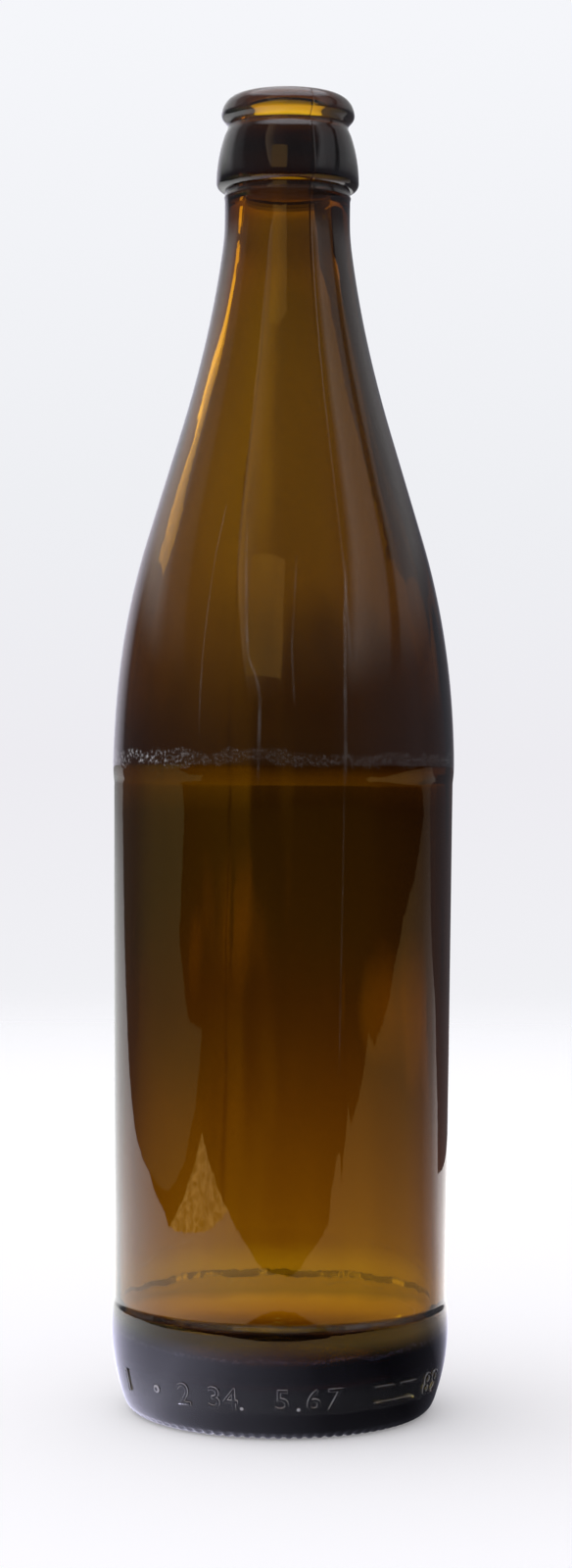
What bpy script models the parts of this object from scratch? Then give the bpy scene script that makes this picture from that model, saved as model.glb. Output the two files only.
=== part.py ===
"""Half-litre returnable beer bottle of moulded amber glass, empty and without a crown cap.

The bottle is one body of glass turned about the Z axis, standing on z = 0 with its axis
through the origin. The wall is one closed shell: it runs from the push-up out over the
bearing ring, up the outer face to the lip, then down the bore and the inner face to the
floor. Sizes are in millimetres until the mesh is made.
"""
import math

import bmesh
import bpy

MM = 0.001
SEGMENTS = 48
WELD = 1e-6
CREASE_DEGREES = 40.0

# Foot: a domed push-up inside a flat bearing ring, then a rounded heel
PUSH_UP_HEIGHT = 4.4
PUSH_UP_RADIUS = 23.4
PUSH_UP_EDGE_HEIGHT = 0.8
PUSH_UP_STEPS = 4
BEARING_RING_INNER_RADIUS = 24.9
HEEL_CORNER_RADIUS = 3.4
HEEL_CORNER_STEPS = 4
HEEL_ARC_RADIUS = 42.0
HEEL_ARC_STEPS = 4
HEEL_BAND_RADIUS = 33.43
HEEL_BAND_Z = 17.2

# Label panel, set in between the two bands that touch the next bottle in a crate
HEEL_STEP_RADIUS = 33.3
HEEL_STEP_Z = 21.0
HEEL_STEP_SLOPE = -0.09
PANEL_BOTTOM_RADIUS = 32.94
PANEL_BOTTOM_Z = 22.6
PANEL_TOP_RADIUS = 33.57
PANEL_TOP_Z = 123.9
SHOULDER_STEP_RADIUS = 33.72
SHOULDER_STEP_Z = 125.6
SHOULDER_STEP_SLOPE = 0.09
SHOULDER_BAND_RADIUS = 33.85
SHOULDER_BAND_Z = 127.8

# Shoulder and neck: a round shoulder, a straight cone and a hollow flare up to the neck
SHOULDER_START_SLOPE = -0.015
CONE_SLOPE = -0.304
CONE_FOOT_RADIUS = 27.38
CONE_FOOT_Z = 172.0
CONE_TOP_RADIUS = 20.98
CONE_TOP_Z = 193.0
FLARE_RADIUS = 13.33
FLARE_Z = 226.0
FLARE_SLOPE = -0.15
NECK_RADIUS = 12.43
NECK_Z = 235.0

# Finish: a reinforcing bulge, a groove over it and the ring that a crown cap grips
BULGE_FOOT_Z = 241.3
BULGE_CORNER_HEIGHT = 1.6
BULGE_CORNER_STEPS = 4
BULGE_RADIUS = 14.14
BULGE_TAPER = 0.0178
BULGE_TOP_Z = 252.0
BULGE_STEPS = 4
GROOVE_RADIUS = 11.95
GROOVE_Z = 254.0
RING_FLANK_RADIUS = 12.6
RING_FLANK_Z = 255.1
RING_FLANK_SLOPE = 0.95
RING_RADIUS = 13.2
RING_Z = 256.2
HEIGHT = 260.0
LIP_CREST_RADIUS = 9.8
LIP_STEPS = 6

# Inner face, from the mouth down to the floor
MOUTH_RADIUS = 8.95
BORE_RADIUS = 8.15
BORE_EDGE_Z = 259.0
BORE_EDGE_STEPS = 2
BORE_FOOT_RADIUS = 8.3
BORE_FOOT_Z = 247.0
INNER_NECK_RADIUS = 9.1
INNER_NECK_Z = 231.0
INNER_NECK_SLOPE = -0.06
INNER_FLARE_RADIUS = 10.65
INNER_FLARE_Z = 222.0
INNER_FLARE_SLOPE = -0.2
INNER_CONE_TOP_RADIUS = 17.85
INNER_CONE_FOOT_RADIUS = 24.25
INNER_SHOULDER_RADIUS = 30.15
INNER_PANEL_RADIUS = 30.8
INNER_PANEL_BOTTOM_Z = 22.0
FLOOR_CORNER_RADIUS = 12.0
FLOOR_CORNER_Z = 20.5
FLOOR_CORNER_DEGREES = 78.0
FLOOR_CORNER_STEPS = 6
FLOOR_DOME = 2.4
FLOOR_STEPS = 3


def arc(centre, radii, start, end, steps):
    """Points on an ellipse, past the start angle and up to the end angle in degrees."""
    points = []
    for step in range(1, steps + 1):
        angle = math.radians(start + (end - start) * step / steps)
        points.append((centre[0] + radii[0] * math.cos(angle),
                       centre[1] + radii[1] * math.sin(angle)))
    return points


def flow(*stations):
    """Points on smooth curves through stations of (radius, z, slope, steps to get there).

    The slope is the radius gained per height, and both ends of a curve keep theirs.
    """
    points = []
    for (r0, z0, slope0, _), (r1, z1, slope1, steps) in zip(stations, stations[1:]):
        rise = z1 - z0
        for step in range(1, steps + 1):
            t = step / steps
            blend = 3 * t ** 2 - 2 * t ** 3
            radius = r0 + (r1 - r0) * blend
            radius += rise * slope0 * (t ** 3 - 2 * t ** 2 + t)
            radius += rise * slope1 * (t ** 3 - t ** 2)
            points.append((radius, z0 + rise * t))
    return points


def underside():
    """The push-up, from its crown on the axis to the inner edge of the bearing ring."""
    points = [(0.0, PUSH_UP_HEIGHT)]
    drop = PUSH_UP_HEIGHT - PUSH_UP_EDGE_HEIGHT
    for step in range(1, PUSH_UP_STEPS + 1):
        t = step / PUSH_UP_STEPS
        points.append((PUSH_UP_RADIUS * t, PUSH_UP_HEIGHT - drop * t ** 2))
    points.append((BEARING_RING_INNER_RADIUS, 0.0))
    return points


def heel():
    """The bearing ring's outer edge, a tight corner and the long arc up to the heel band."""
    arc_centre = (HEEL_BAND_RADIUS - HEEL_ARC_RADIUS, HEEL_BAND_Z)
    reach = HEEL_ARC_RADIUS - HEEL_CORNER_RADIUS
    drop = HEEL_BAND_Z - HEEL_CORNER_RADIUS
    corner_centre = (arc_centre[0] + math.sqrt(reach ** 2 - drop ** 2), HEEL_CORNER_RADIUS)
    meeting = -math.degrees(math.asin(drop / reach))
    points = [(corner_centre[0], 0.0)]
    points += arc(corner_centre, (HEEL_CORNER_RADIUS, HEEL_CORNER_RADIUS),
                  -90.0, meeting, HEEL_CORNER_STEPS)
    points += arc(arc_centre, (HEEL_ARC_RADIUS, HEEL_ARC_RADIUS),
                  meeting, 0.0, HEEL_ARC_STEPS)
    return points


def body():
    """The step in from the heel band, the label panel and the step out under the shoulder."""
    panel_slope = (PANEL_TOP_RADIUS - PANEL_BOTTOM_RADIUS) / (PANEL_TOP_Z - PANEL_BOTTOM_Z)
    step_in = flow((HEEL_BAND_RADIUS, HEEL_BAND_Z, 0.0, 0),
                   (HEEL_STEP_RADIUS, HEEL_STEP_Z, HEEL_STEP_SLOPE, 2),
                   (PANEL_BOTTOM_RADIUS, PANEL_BOTTOM_Z, 0.0, 3))
    panel = flow((PANEL_BOTTOM_RADIUS, PANEL_BOTTOM_Z, panel_slope, 0),
                 (PANEL_TOP_RADIUS, PANEL_TOP_Z, panel_slope, 5))
    step_out = flow((PANEL_TOP_RADIUS, PANEL_TOP_Z, 0.0, 0),
                    (SHOULDER_STEP_RADIUS, SHOULDER_STEP_Z, SHOULDER_STEP_SLOPE, 2),
                    (SHOULDER_BAND_RADIUS, SHOULDER_BAND_Z, 0.0, 2))
    return step_in + panel + step_out


def shoulder_and_neck():
    """The round shoulder, the cone and the flare, up to the foot of the bulge."""
    points = flow((SHOULDER_BAND_RADIUS, SHOULDER_BAND_Z, SHOULDER_START_SLOPE, 0),
                  (CONE_FOOT_RADIUS, CONE_FOOT_Z, CONE_SLOPE, 8),
                  (CONE_TOP_RADIUS, CONE_TOP_Z, CONE_SLOPE, 2),
                  (FLARE_RADIUS, FLARE_Z, FLARE_SLOPE, 6),
                  (NECK_RADIUS, NECK_Z, 0.0, 3))
    points.append((NECK_RADIUS, BULGE_FOOT_Z))
    return points


def finish():
    """The bulge, the groove, the crown ring and the outer half of the lip."""
    bulge_z = BULGE_FOOT_Z + BULGE_CORNER_HEIGHT
    points = arc((NECK_RADIUS, bulge_z), (BULGE_RADIUS - NECK_RADIUS, BULGE_CORNER_HEIGHT),
                 -90.0, 0.0, BULGE_CORNER_STEPS)
    for step in range(1, BULGE_STEPS + 1):
        rise = (BULGE_TOP_Z - bulge_z) * step / BULGE_STEPS
        points.append((BULGE_RADIUS - BULGE_TAPER * rise ** 2, bulge_z + rise))
    bulge_top_slope = -2 * BULGE_TAPER * (BULGE_TOP_Z - bulge_z)
    points += flow((points[-1][0], BULGE_TOP_Z, bulge_top_slope, 0),
                   (GROOVE_RADIUS, GROOVE_Z, 0.0, 2),
                   (RING_FLANK_RADIUS, RING_FLANK_Z, RING_FLANK_SLOPE, 2),
                   (RING_RADIUS, RING_Z, 0.0, 3))
    points += arc((LIP_CREST_RADIUS, RING_Z), (RING_RADIUS - LIP_CREST_RADIUS, HEIGHT - RING_Z),
                  0.0, 90.0, LIP_STEPS)
    return points


def inside():
    """The mouth, the bore, the inner shoulder and wall, and the floor over the push-up."""
    points = [(MOUTH_RADIUS, HEIGHT)]
    points += arc((MOUTH_RADIUS, BORE_EDGE_Z), (MOUTH_RADIUS - BORE_RADIUS, HEIGHT - BORE_EDGE_Z),
                  90.0, 180.0, BORE_EDGE_STEPS)
    points += flow((BORE_RADIUS, BORE_EDGE_Z, 0.0, 0),
                   (BORE_FOOT_RADIUS, BORE_FOOT_Z, 0.0, 1),
                   (INNER_NECK_RADIUS, INNER_NECK_Z, INNER_NECK_SLOPE, 2),
                   (INNER_FLARE_RADIUS, INNER_FLARE_Z, INNER_FLARE_SLOPE, 2),
                   (INNER_CONE_TOP_RADIUS, CONE_TOP_Z, CONE_SLOPE, 4),
                   (INNER_CONE_FOOT_RADIUS, CONE_FOOT_Z, CONE_SLOPE, 2),
                   (INNER_SHOULDER_RADIUS, SHOULDER_BAND_Z, 0.0, 6),
                   (INNER_PANEL_RADIUS, INNER_PANEL_BOTTOM_Z, 0.0, 5))
    points.append((INNER_PANEL_RADIUS, FLOOR_CORNER_Z))
    points += arc((INNER_PANEL_RADIUS - FLOOR_CORNER_RADIUS, FLOOR_CORNER_Z),
                  (FLOOR_CORNER_RADIUS, FLOOR_CORNER_RADIUS),
                  0.0, -FLOOR_CORNER_DEGREES, FLOOR_CORNER_STEPS)
    edge_radius, edge_z = points[-1]
    for step in range(1, FLOOR_STEPS + 1):
        t = 1 - step / FLOOR_STEPS
        points.append((edge_radius * t, edge_z + FLOOR_DOME * (1 - t ** 2)))
    return points


def amber_glass():
    """Clear brown bottle glass with a smooth moulded face."""
    glass = bpy.data.materials.new("amber_soda_lime_glass")
    glass.use_nodes = True
    shader = glass.node_tree.nodes["Principled BSDF"]
    shader.inputs["Base Color"].default_value = (0.24, 0.10, 0.015, 1.0)
    shader.inputs["Metallic"].default_value = 0.0
    shader.inputs["Roughness"].default_value = 0.05
    shader.inputs["IOR"].default_value = 1.52
    shader.inputs["Transmission Weight"].default_value = 1.0
    return glass


def turn(name, profile, material):
    """One closed body, made by spinning a profile that starts and ends on the axis."""
    shell = bmesh.new()
    points = [shell.verts.new((radius * MM, 0.0, z * MM)) for radius, z in profile]
    edges = [shell.edges.new(pair) for pair in zip(points, points[1:])]
    bmesh.ops.spin(shell, geom=points + edges, cent=(0.0, 0.0, 0.0), axis=(0.0, 0.0, 1.0),
                   angle=2 * math.pi, steps=SEGMENTS, use_duplicate=False)
    bmesh.ops.remove_doubles(shell, verts=shell.verts, dist=WELD)
    bmesh.ops.recalc_face_normals(shell, faces=shell.faces)
    mesh = bpy.data.meshes.new(name)
    shell.to_mesh(mesh)
    shell.free()
    mesh.shade_smooth()
    mesh.set_sharp_from_angle(angle=math.radians(CREASE_DEGREES))
    mesh.materials.append(material)
    turned = bpy.data.objects.new(name, mesh)
    bpy.context.scene.collection.objects.link(turned)
    return turned


def main():
    for leftover in list(bpy.data.objects):
        bpy.data.objects.remove(leftover, do_unlink=True)
    profile = underside() + heel() + body() + shoulder_and_neck() + finish() + inside()
    turn("bottle", profile, amber_glass())


main()
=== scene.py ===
import bpy
import math
import numpy as np
from mathutils import Matrix, Vector


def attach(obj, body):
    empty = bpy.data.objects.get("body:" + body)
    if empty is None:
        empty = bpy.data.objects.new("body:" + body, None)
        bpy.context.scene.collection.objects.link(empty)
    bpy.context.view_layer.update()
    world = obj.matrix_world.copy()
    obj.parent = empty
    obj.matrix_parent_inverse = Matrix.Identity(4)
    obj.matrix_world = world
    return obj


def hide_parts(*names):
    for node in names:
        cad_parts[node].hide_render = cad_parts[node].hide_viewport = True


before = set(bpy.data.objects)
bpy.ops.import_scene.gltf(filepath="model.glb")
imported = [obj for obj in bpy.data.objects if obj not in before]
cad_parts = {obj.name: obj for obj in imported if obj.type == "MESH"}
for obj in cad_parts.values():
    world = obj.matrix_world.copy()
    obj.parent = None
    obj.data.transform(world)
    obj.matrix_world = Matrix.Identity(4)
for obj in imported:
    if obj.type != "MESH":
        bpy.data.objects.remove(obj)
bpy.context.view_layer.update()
bpy.ops.object.select_all(action="DESELECT")

mm = 0.001
weld = 0.000001

# settings that many nodes share
smooth = {"interpolation_type": "SMOOTHSTEP"}
mixColour = {"data_type": "RGBA"}
plus = {"operation": "ADD"}
minus = {"operation": "SUBTRACT"}
times = {"operation": "MULTIPLY"}
timesPlus = {"operation": "MULTIPLY_ADD"}
positive = {"operation": "ABSOLUTE"}
greater = {"operation": "MAXIMUM"}
isOver = {"operation": "GREATER_THAN"}
isUnder = {"operation": "LESS_THAN"}
scaled = {"operation": "SCALE"}
length = {"operation": "LENGTH"}


def linear(hexColour):
    # sRGB hex to the linear numbers that sockets take
    values = [int(hexColour[i:i + 2], 16) / 255 for i in (1, 3, 5)]
    return tuple(v / 12.92 if v <= 0.04045 else ((v + 0.055) / 1.055) ** 2.4 for v in values) + (1.0,)


def addNode(tree, kind, settings=None, links=None):
    # links maps a socket's name or number to a value, an output socket, or a node for its first output
    node = tree.nodes.new(kind)
    for name, value in (settings or {}).items():
        setattr(node, name, value)
    for socket, value in (links or {}).items():
        if isinstance(value, bpy.types.Node):
            value = value.outputs[0]
        if isinstance(value, bpy.types.NodeSocket):
            tree.links.new(value, node.inputs[socket])
        else:
            node.inputs[socket].default_value = value
    return node


def setStops(ramp, stops):
    # a stop's colour is a hex value or three linear numbers
    elements = ramp.color_ramp.elements
    while len(elements) < len(stops):
        elements.new(0.5)
    for element, (position, colour) in zip(elements, stops):
        element.position = position
        element.color = linear(colour) if isinstance(colour, str) else (*colour, 1)


def azimuthOf(tree, place):
    # 0 to 1 round the bottle, a half towards the camera's side, more to its right
    x, y = addNode(tree, "ShaderNodeSeparateXYZ", links={0: place}).outputs[:2]
    toFront = addNode(tree, "ShaderNodeMath", times, {0: y, 1: -1.0})
    turn = addNode(tree, "ShaderNodeMath", {"operation": "ARCTAN2"}, {0: x, 1: toFront})
    return addNode(tree, "ShaderNodeMapRange",
                   links={"Value": turn, "From Min": -math.pi, "From Max": math.pi})


def newMaterial(name):
    material = bpy.data.materials.new(name)
    material.use_nodes = True
    material.node_tree.nodes.clear()
    return material, material.node_tree


def editAll():
    bpy.ops.object.mode_set(mode="EDIT")
    bpy.ops.mesh.select_all(action="SELECT")


def leaveEdit():
    bpy.ops.object.mode_set(mode="OBJECT")


def closeSkin():
    # merges the doubles and turns the faces outwards
    editAll()
    bpy.ops.mesh.remove_doubles(threshold=weld)
    bpy.ops.mesh.normals_make_consistent(inside=False)
    leaveEdit()


def selectVertices(piece, chosen):
    # leaves the piece in edit mode with just those vertices selected
    if bpy.context.object.mode != "OBJECT":
        leaveEdit()
    mesh = piece.data
    mesh.polygons.foreach_set("select", np.zeros(len(mesh.polygons), bool))
    mesh.edges.foreach_set("select", np.zeros(len(mesh.edges), bool))
    mesh.vertices.foreach_set("select", chosen)
    bpy.ops.object.mode_set(mode="EDIT")
    bpy.ops.mesh.select_mode(type="VERT")


def places(piece):
    # every vertex as radius, azimuth to the right of the front in degrees, and height, in mm
    co = np.zeros(len(piece.data.vertices) * 3)
    piece.data.vertices.foreach_get("co", co)
    x, y, z = co.reshape(-1, 3).T / mm
    return np.hypot(x, y), np.degrees(np.arctan2(x, -y)), z


def drawPath(name, points):
    # one vertex, extruded from point to point; stays in edit mode
    bpy.ops.mesh.primitive_plane_add(size=mm)
    drawn = bpy.context.object
    drawn.name = drawn.data.name = name
    editAll()
    bpy.ops.mesh.merge(type="CENTER")
    bpy.ops.transform.translate(value=points[0])
    for here, there in zip(points, points[1:]):
        bpy.ops.mesh.extrude_region_move(TRANSFORM_OT_translate={"value": there - here})
    return drawn


def onBottle(radius, azimuth, z):
    # a place in mm around the axis; azimuth is in degrees to the right of the front
    turn = math.radians(azimuth)
    return Vector((radius * math.sin(turn), -radius * math.cos(turn), z)) * mm


cameraSetup = {"lens": 67.68, "sensor": 36.0, "place": (0.00051, -0.5856, 0.1284),
               "pitchDown": 0.438, "roll": 0.40}


def makeCamera():
    data = bpy.data.cameras.new("camera")
    data.sensor_fit = "AUTO"
    data.sensor_width = cameraSetup["sensor"]
    data.lens = cameraSetup["lens"]
    camera = bpy.data.objects.new("camera", data)
    bpy.context.scene.collection.objects.link(camera)
    pitch = Matrix.Rotation(math.radians(90 - cameraSetup["pitchDown"]), 4, "X")
    roll = Matrix.Rotation(math.radians(cameraSetup["roll"]), 4, "Z")
    camera.matrix_world = Matrix.Translation(cameraSetup["place"]) @ pitch @ roll
    bpy.context.scene.camera = camera


makeCamera()
print("camera placed")

# all in mm, radius and height of the turned shape
outside = {
    "pushUpHeight": 4.4, "pushUpRadius": 23.4, "pushUpEdge": 0.8,
    "ringInner": 24.9, "cornerRadius": 3.4, "heelArc": 42.0, "heelBand": (33.43, 17.2),
    "heelStep": (33.3, 21.0), "panelBottom": (32.94, 22.6), "panelTop": (33.57, 123.9),
    "shoulderStep": (33.72, 125.6), "shoulderBand": (33.84, 127.8),
    "coneFoot": (27.38, 172.0), "coneTop": (20.98, 193.0), "coneSlope": -0.304,
    "flare": (13.33, 226.0), "neck": (12.43, 235.0), "bulgeFoot": 241.3, "bulgeCorner": 1.6,
    "bulgeRadius": 14.14, "bulgeTaper": 0.0178, "bulgeTop": 252.0, "groove": (11.95, 254.0),
    "ringFlank": (12.6, 255.1), "ring": (13.2, 256.2), "height": 259.998, "lipCrest": 9.8,
    "partingLine": 239.9, "partingRise": 0.13, "baseSeam": 2.9, "baseSeamRise": 0.05,
}
inside = {
    "mouth": 8.95, "bore": (8.15, 259.0), "boreFoot": (8.3, 247.0), "neck": (9.1, 231.0),
    "flare": (10.65, 222.0), "coneTop": 17.85, "coneFoot": 24.25, "shoulder": 30.15,
    "panel": (30.8, 22.0), "cornerZ": 20.5, "cornerRadius": 12.0, "cornerTurn": 78.0, "dome": 2.4,
}


def arcPoints(centre, radii, start, end, steps):
    angles = [math.radians(start + (end - start) * (i + 1) / steps) for i in range(steps)]
    return [(centre[0] + radii[0] * math.cos(a), centre[1] + radii[1] * math.sin(a)) for a in angles]


def flowPoints(*stations):
    # smooth curves through stations of radius, height, slope and steps to get there
    points = []
    for (r0, z0, slope0, _), (r1, z1, slope1, steps) in zip(stations, stations[1:]):
        rise = z1 - z0
        for i in range(1, steps + 1):
            t = i / steps
            blend = 3 * t ** 2 - 2 * t ** 3
            bow = rise * (slope0 * (t ** 3 - 2 * t ** 2 + t) + slope1 * (t ** 3 - t ** 2))
            points.append((r0 + (r1 - r0) * blend + bow, z0 + rise * t))
    return points


def footProfile():
    o = outside
    drop = o["pushUpHeight"] - o["pushUpEdge"]
    points = [(0.0, o["pushUpHeight"])]
    points += [(o["pushUpRadius"] * i / 6, o["pushUpHeight"] - drop * (i / 6) ** 2) for i in range(1, 7)]
    points += [(o["ringInner"] - 0.7, 0.25), (o["ringInner"], 0.0)]
    reach, lift = o["heelArc"] - o["cornerRadius"], o["heelBand"][1] - o["cornerRadius"]
    arcCentre = (o["heelBand"][0] - o["heelArc"], o["heelBand"][1])
    cornerCentre = (arcCentre[0] + math.sqrt(reach ** 2 - lift ** 2), o["cornerRadius"])
    meeting = -math.degrees(math.asin(lift / reach))
    middle = (o["ringInner"] + cornerCentre[0]) / 2
    points += [(middle, 0.0), (cornerCentre[0], 0.0)]
    corner = (o["cornerRadius"], o["cornerRadius"])
    points += arcPoints(cornerCentre, corner, -90.0, meeting, 9)
    heelArc = arcPoints(arcCentre, (o["heelArc"], o["heelArc"]), meeting, 0.0, 18)
    return points, heelArc


def wallProfile():
    o = outside
    slope = (o["panelTop"][0] - o["panelBottom"][0]) / (o["panelTop"][1] - o["panelBottom"][1])
    points = flowPoints((*o["heelBand"], 0.0, 0), (*o["heelStep"], -0.09, 5),
                        (*o["panelBottom"], 0.0, 6))
    points += flowPoints((*o["panelBottom"], slope, 0), (*o["panelTop"], slope, 18))
    points += flowPoints((*o["panelTop"], 0.0, 0), (*o["shoulderStep"], 0.09, 4),
                         (*o["shoulderBand"], 0.0, 5))
    cone = o["coneSlope"]
    points += flowPoints((*o["shoulderBand"], -0.015, 0), (*o["coneFoot"], cone, 20),
                         (*o["coneTop"], cone, 5), (*o["flare"], -0.15, 16), (*o["neck"], 0.0, 5))
    line, neck = o["partingLine"], o["neck"][0]
    proud = neck + o["partingRise"]
    return points + [(neck, 237.5), (neck, line - 0.45), (proud, line - 0.12), (proud, line + 0.12),
                     (neck, line + 0.45), (neck, o["bulgeFoot"] - 0.3), (neck, o["bulgeFoot"])]


def finishProfile():
    o = outside
    neck, bulgeZ = o["neck"][0], o["bulgeFoot"] + o["bulgeCorner"]
    points = arcPoints((neck, bulgeZ), (o["bulgeRadius"] - neck, o["bulgeCorner"]), -90.0, 0.0, 8)
    rises = [(o["bulgeTop"] - bulgeZ) * i / 8 for i in range(1, 9)]
    points += [(o["bulgeRadius"] - o["bulgeTaper"] * rise ** 2, bulgeZ + rise) for rise in rises]
    topSlope = -2 * o["bulgeTaper"] * (o["bulgeTop"] - bulgeZ)
    points += flowPoints((points[-1][0], o["bulgeTop"], topSlope, 0), (*o["groove"], 0.0, 6),
                         (*o["ringFlank"], 0.95, 4), (*o["ring"], 0.0, 4))
    crest = (o["lipCrest"], o["ring"][1])
    radii = (o["ring"][0] - o["lipCrest"], o["height"] - o["ring"][1])
    return points + arcPoints(crest, radii, 0.0, 90.0, 14)


def innerProfile():
    i, o = inside, outside
    points = [(i["mouth"], o["height"])]
    edge = (i["mouth"] - i["bore"][0], o["height"] - i["bore"][1])
    points += arcPoints((i["mouth"], i["bore"][1]), edge, 90.0, 180.0, 5)
    cone = o["coneSlope"]
    points += flowPoints((*i["bore"], 0.0, 0), (*i["boreFoot"], 0.0, 4), (*i["neck"], -0.06, 6),
                         (*i["flare"], -0.2, 5), (i["coneTop"], o["coneTop"][1], cone, 11),
                         (i["coneFoot"], o["coneFoot"][1], cone, 5),
                         (i["shoulder"], o["shoulderBand"][1], 0.0, 14), (*i["panel"], 0.0, 18))
    points += [(i["panel"][0], i["cornerZ"])]
    centre = (i["panel"][0] - i["cornerRadius"], i["cornerZ"])
    points += arcPoints(centre, (i["cornerRadius"],) * 2, 0.0, -i["cornerTurn"], 15)
    edgeRadius, edgeZ = points[-1]
    for step in range(1, 7):
        t = 1 - step / 6
        points.append((edgeRadius * t, edgeZ + i["dome"] * (1 - t ** 2)))
    return points


bottleShape = {
    "columns": 360,             # one per degree, so that the ribs and seams land on columns
    "seamAzimuth": 21.4,        # the mould's two halves meet here and opposite
    "seamRise": 0.07, "finishSeamRise": 0.10,
    "ribColumns": 4, "ribDepth": 0.28,
    # slow waves of each face: size, rise, stretch along the height, and where their noise is taken
    "outerWaves": (14.0, 0.05, 2.0, 0.37), "wallWaves": (9.0, 0.34, 7.0, 0.11),
}


def turnBottle():
    foot, heelArc = footProfile()
    seam = outside["baseSeam"]
    heelArc = [(r + (outside["baseSeamRise"] if abs(z - seam) < 0.3 else 0.0), z) for r, z in heelArc]
    profile = foot + heelArc + wallProfile() + finishProfile() + innerProfile()
    points = [onBottle(r, bottleShape["seamAzimuth"], z) for r, z in profile]
    bottle = drawPath("amber_bottle", points)
    leaveEdit()
    lathe = bottle.modifiers.new("lathe", "SCREW")
    lathe.axis = "Z"
    lathe.angle = math.tau
    lathe.steps = lathe.render_steps = bottleShape["columns"]
    lathe.use_merge_vertices = True
    lathe.merge_threshold = weld
    bpy.ops.object.modifier_apply(modifier=lathe.name)
    closeSkin()
    return bottle


def wallMiddle(z):
    # the radius between the inner and the outer face at each height
    outer = sorted((h, r) for r, h in footProfile()[1] + wallProfile() + finishProfile())
    inner = sorted((h, r) for r, h in innerProfile())
    outerRadius = np.interp(z, *np.array(outer).T)
    innerRadius = np.interp(z, *np.array(inner).T)
    return (outerRadius + innerRadius) / 2


def raiseSeams(bottle):
    radius, azimuth, z = places(bottle)
    shape = bottleShape
    fromSeam = np.abs((azimuth - shape["seamAzimuth"] + 90) % 180 - 90)
    outer = (radius > wallMiddle(z)) & (z > outside["baseSeam"]) & (fromSeam < 0.3)
    low, high = outside["bulgeFoot"], outside["height"] - 0.7
    for belongs, rise in ((z < low, shape["seamRise"]), ((z > low) & (z < high), shape["finishSeamRise"])):
        selectVertices(bottle, outer & belongs)
        bpy.ops.transform.shrink_fatten(value=rise * mm)
    leaveEdit()


def cutRibs(bottle):
    # short ribs round the bearing ring, so that the wet bottle doesn't stick
    radius, azimuth, z = places(bottle)
    column = np.round((azimuth - bottleShape["seamAzimuth"]) * bottleShape["columns"] / 360).astype(int)
    groove = column % bottleShape["ribColumns"] < bottleShape["ribColumns"] // 2
    selectVertices(bottle, groove & (z < 1.3) & (radius > outside["ringInner"] + 0.1))
    bpy.ops.transform.shrink_fatten(value=-bottleShape["ribDepth"] * mm)
    leaveEdit()


def addWaves(bottle, name, chosen):
    # the slow unevenness of blown glass, as a displacement over the chosen face
    size, rise, stretch, seed = bottleShape[name]
    selectVertices(bottle, chosen)
    bpy.ops.object.vertex_group_add()
    bpy.ops.object.vertex_group_assign()
    leaveEdit()
    bottle.vertex_groups.active.name = name
    noise = bpy.data.textures.new(name, "CLOUDS")
    noise.noise_scale = size * mm
    noise.noise_depth = 1
    bpy.ops.object.empty_add(location=(seed, seed, 0))
    guide = bpy.context.object
    guide.scale = (1, 1, stretch)
    bpy.context.view_layer.update()
    guide.select_set(False)
    bottle.select_set(True)
    bpy.context.view_layer.objects.active = bottle
    modifier = bottle.modifiers.new(name, "DISPLACE")
    modifier.texture = noise
    modifier.texture_coords = "OBJECT"
    modifier.texture_coords_object = guide
    modifier.vertex_group = name
    modifier.strength = rise * mm
    modifier.mid_level = 0.5
    bpy.ops.object.modifier_apply(modifier=name)
    bpy.data.objects.remove(guide)
    bottle.vertex_groups.remove(bottle.vertex_groups[name])


bottle = turnBottle()
print("bottle turned:", len(bottle.data.polygons), "faces")
raiseSeams(bottle)
cutRibs(bottle)
radius, azimuth, z = places(bottle)
isOuter = radius > wallMiddle(z)
body = (z > 4.0) & (z < 257.0)
addWaves(bottle, "outerWaves", isOuter & body & (radius < 33.8))
addWaves(bottle, "wallWaves", ~isOuter & (z > 17.0) & (z < 240.0))
print("seams, ribs and waves shaped")

# raised plain numbers and other plain marks, sizes in mm
heelMarks = {
    "height": 4.3, "middleZ": 8.3, "rise": 0.40, "root": 0.45, "tilt": 11.0, "stroke": 0.5,
    "stud": 1.7, "dot": 0.8, "dotRise": 0.32, "dotUp": 0.3,
    # of the numerals: height over font size, rounding of the edge, thinning of the strokes
    "capShare": 0.7, "edge": 0.24, "thinned": 0.16,
    # degrees to the side, mm up and length of each bar
    "bars": [(-5.6, 1.5, 4.6), (5.6, 1.5, 4.6), (0, -1.7, 10.4)],
    # kind, and degrees to the right of the front
    "row": [("1", -64.0), ("stud", -46.0), ("2", -33.7), ("3", -22.2), ("4", -16.4),
            ("dot", -12.6), ("5", 1.0), ("dot", 6.6), ("6", 11.7), ("7", 18.9),
            ("bars", 43.3), ("8", 61.0), ("9", 67.0)],
}


def heelRadius(z):
    heel = np.array(sorted((h, r) for r, h in footProfile()[1]))
    return float(np.interp(z, heel[:, 0], heel[:, 1]))


def placeMark(azimuth, z):
    # local x runs round the bottle, local y up the heel and local z out of it
    mark = bpy.context.object
    mark.rotation_euler = (math.radians(90 + heelMarks["tilt"]), 0, math.radians(azimuth))
    mark.location = onBottle(heelRadius(z), azimuth, z)
    bpy.ops.object.transform_apply(location=True, rotation=True, scale=True)
    return mark


def centreOnOrigin():
    bpy.ops.object.origin_set(type="ORIGIN_GEOMETRY", center="BOUNDS")
    bpy.context.object.location = (0, 0, 0)


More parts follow.
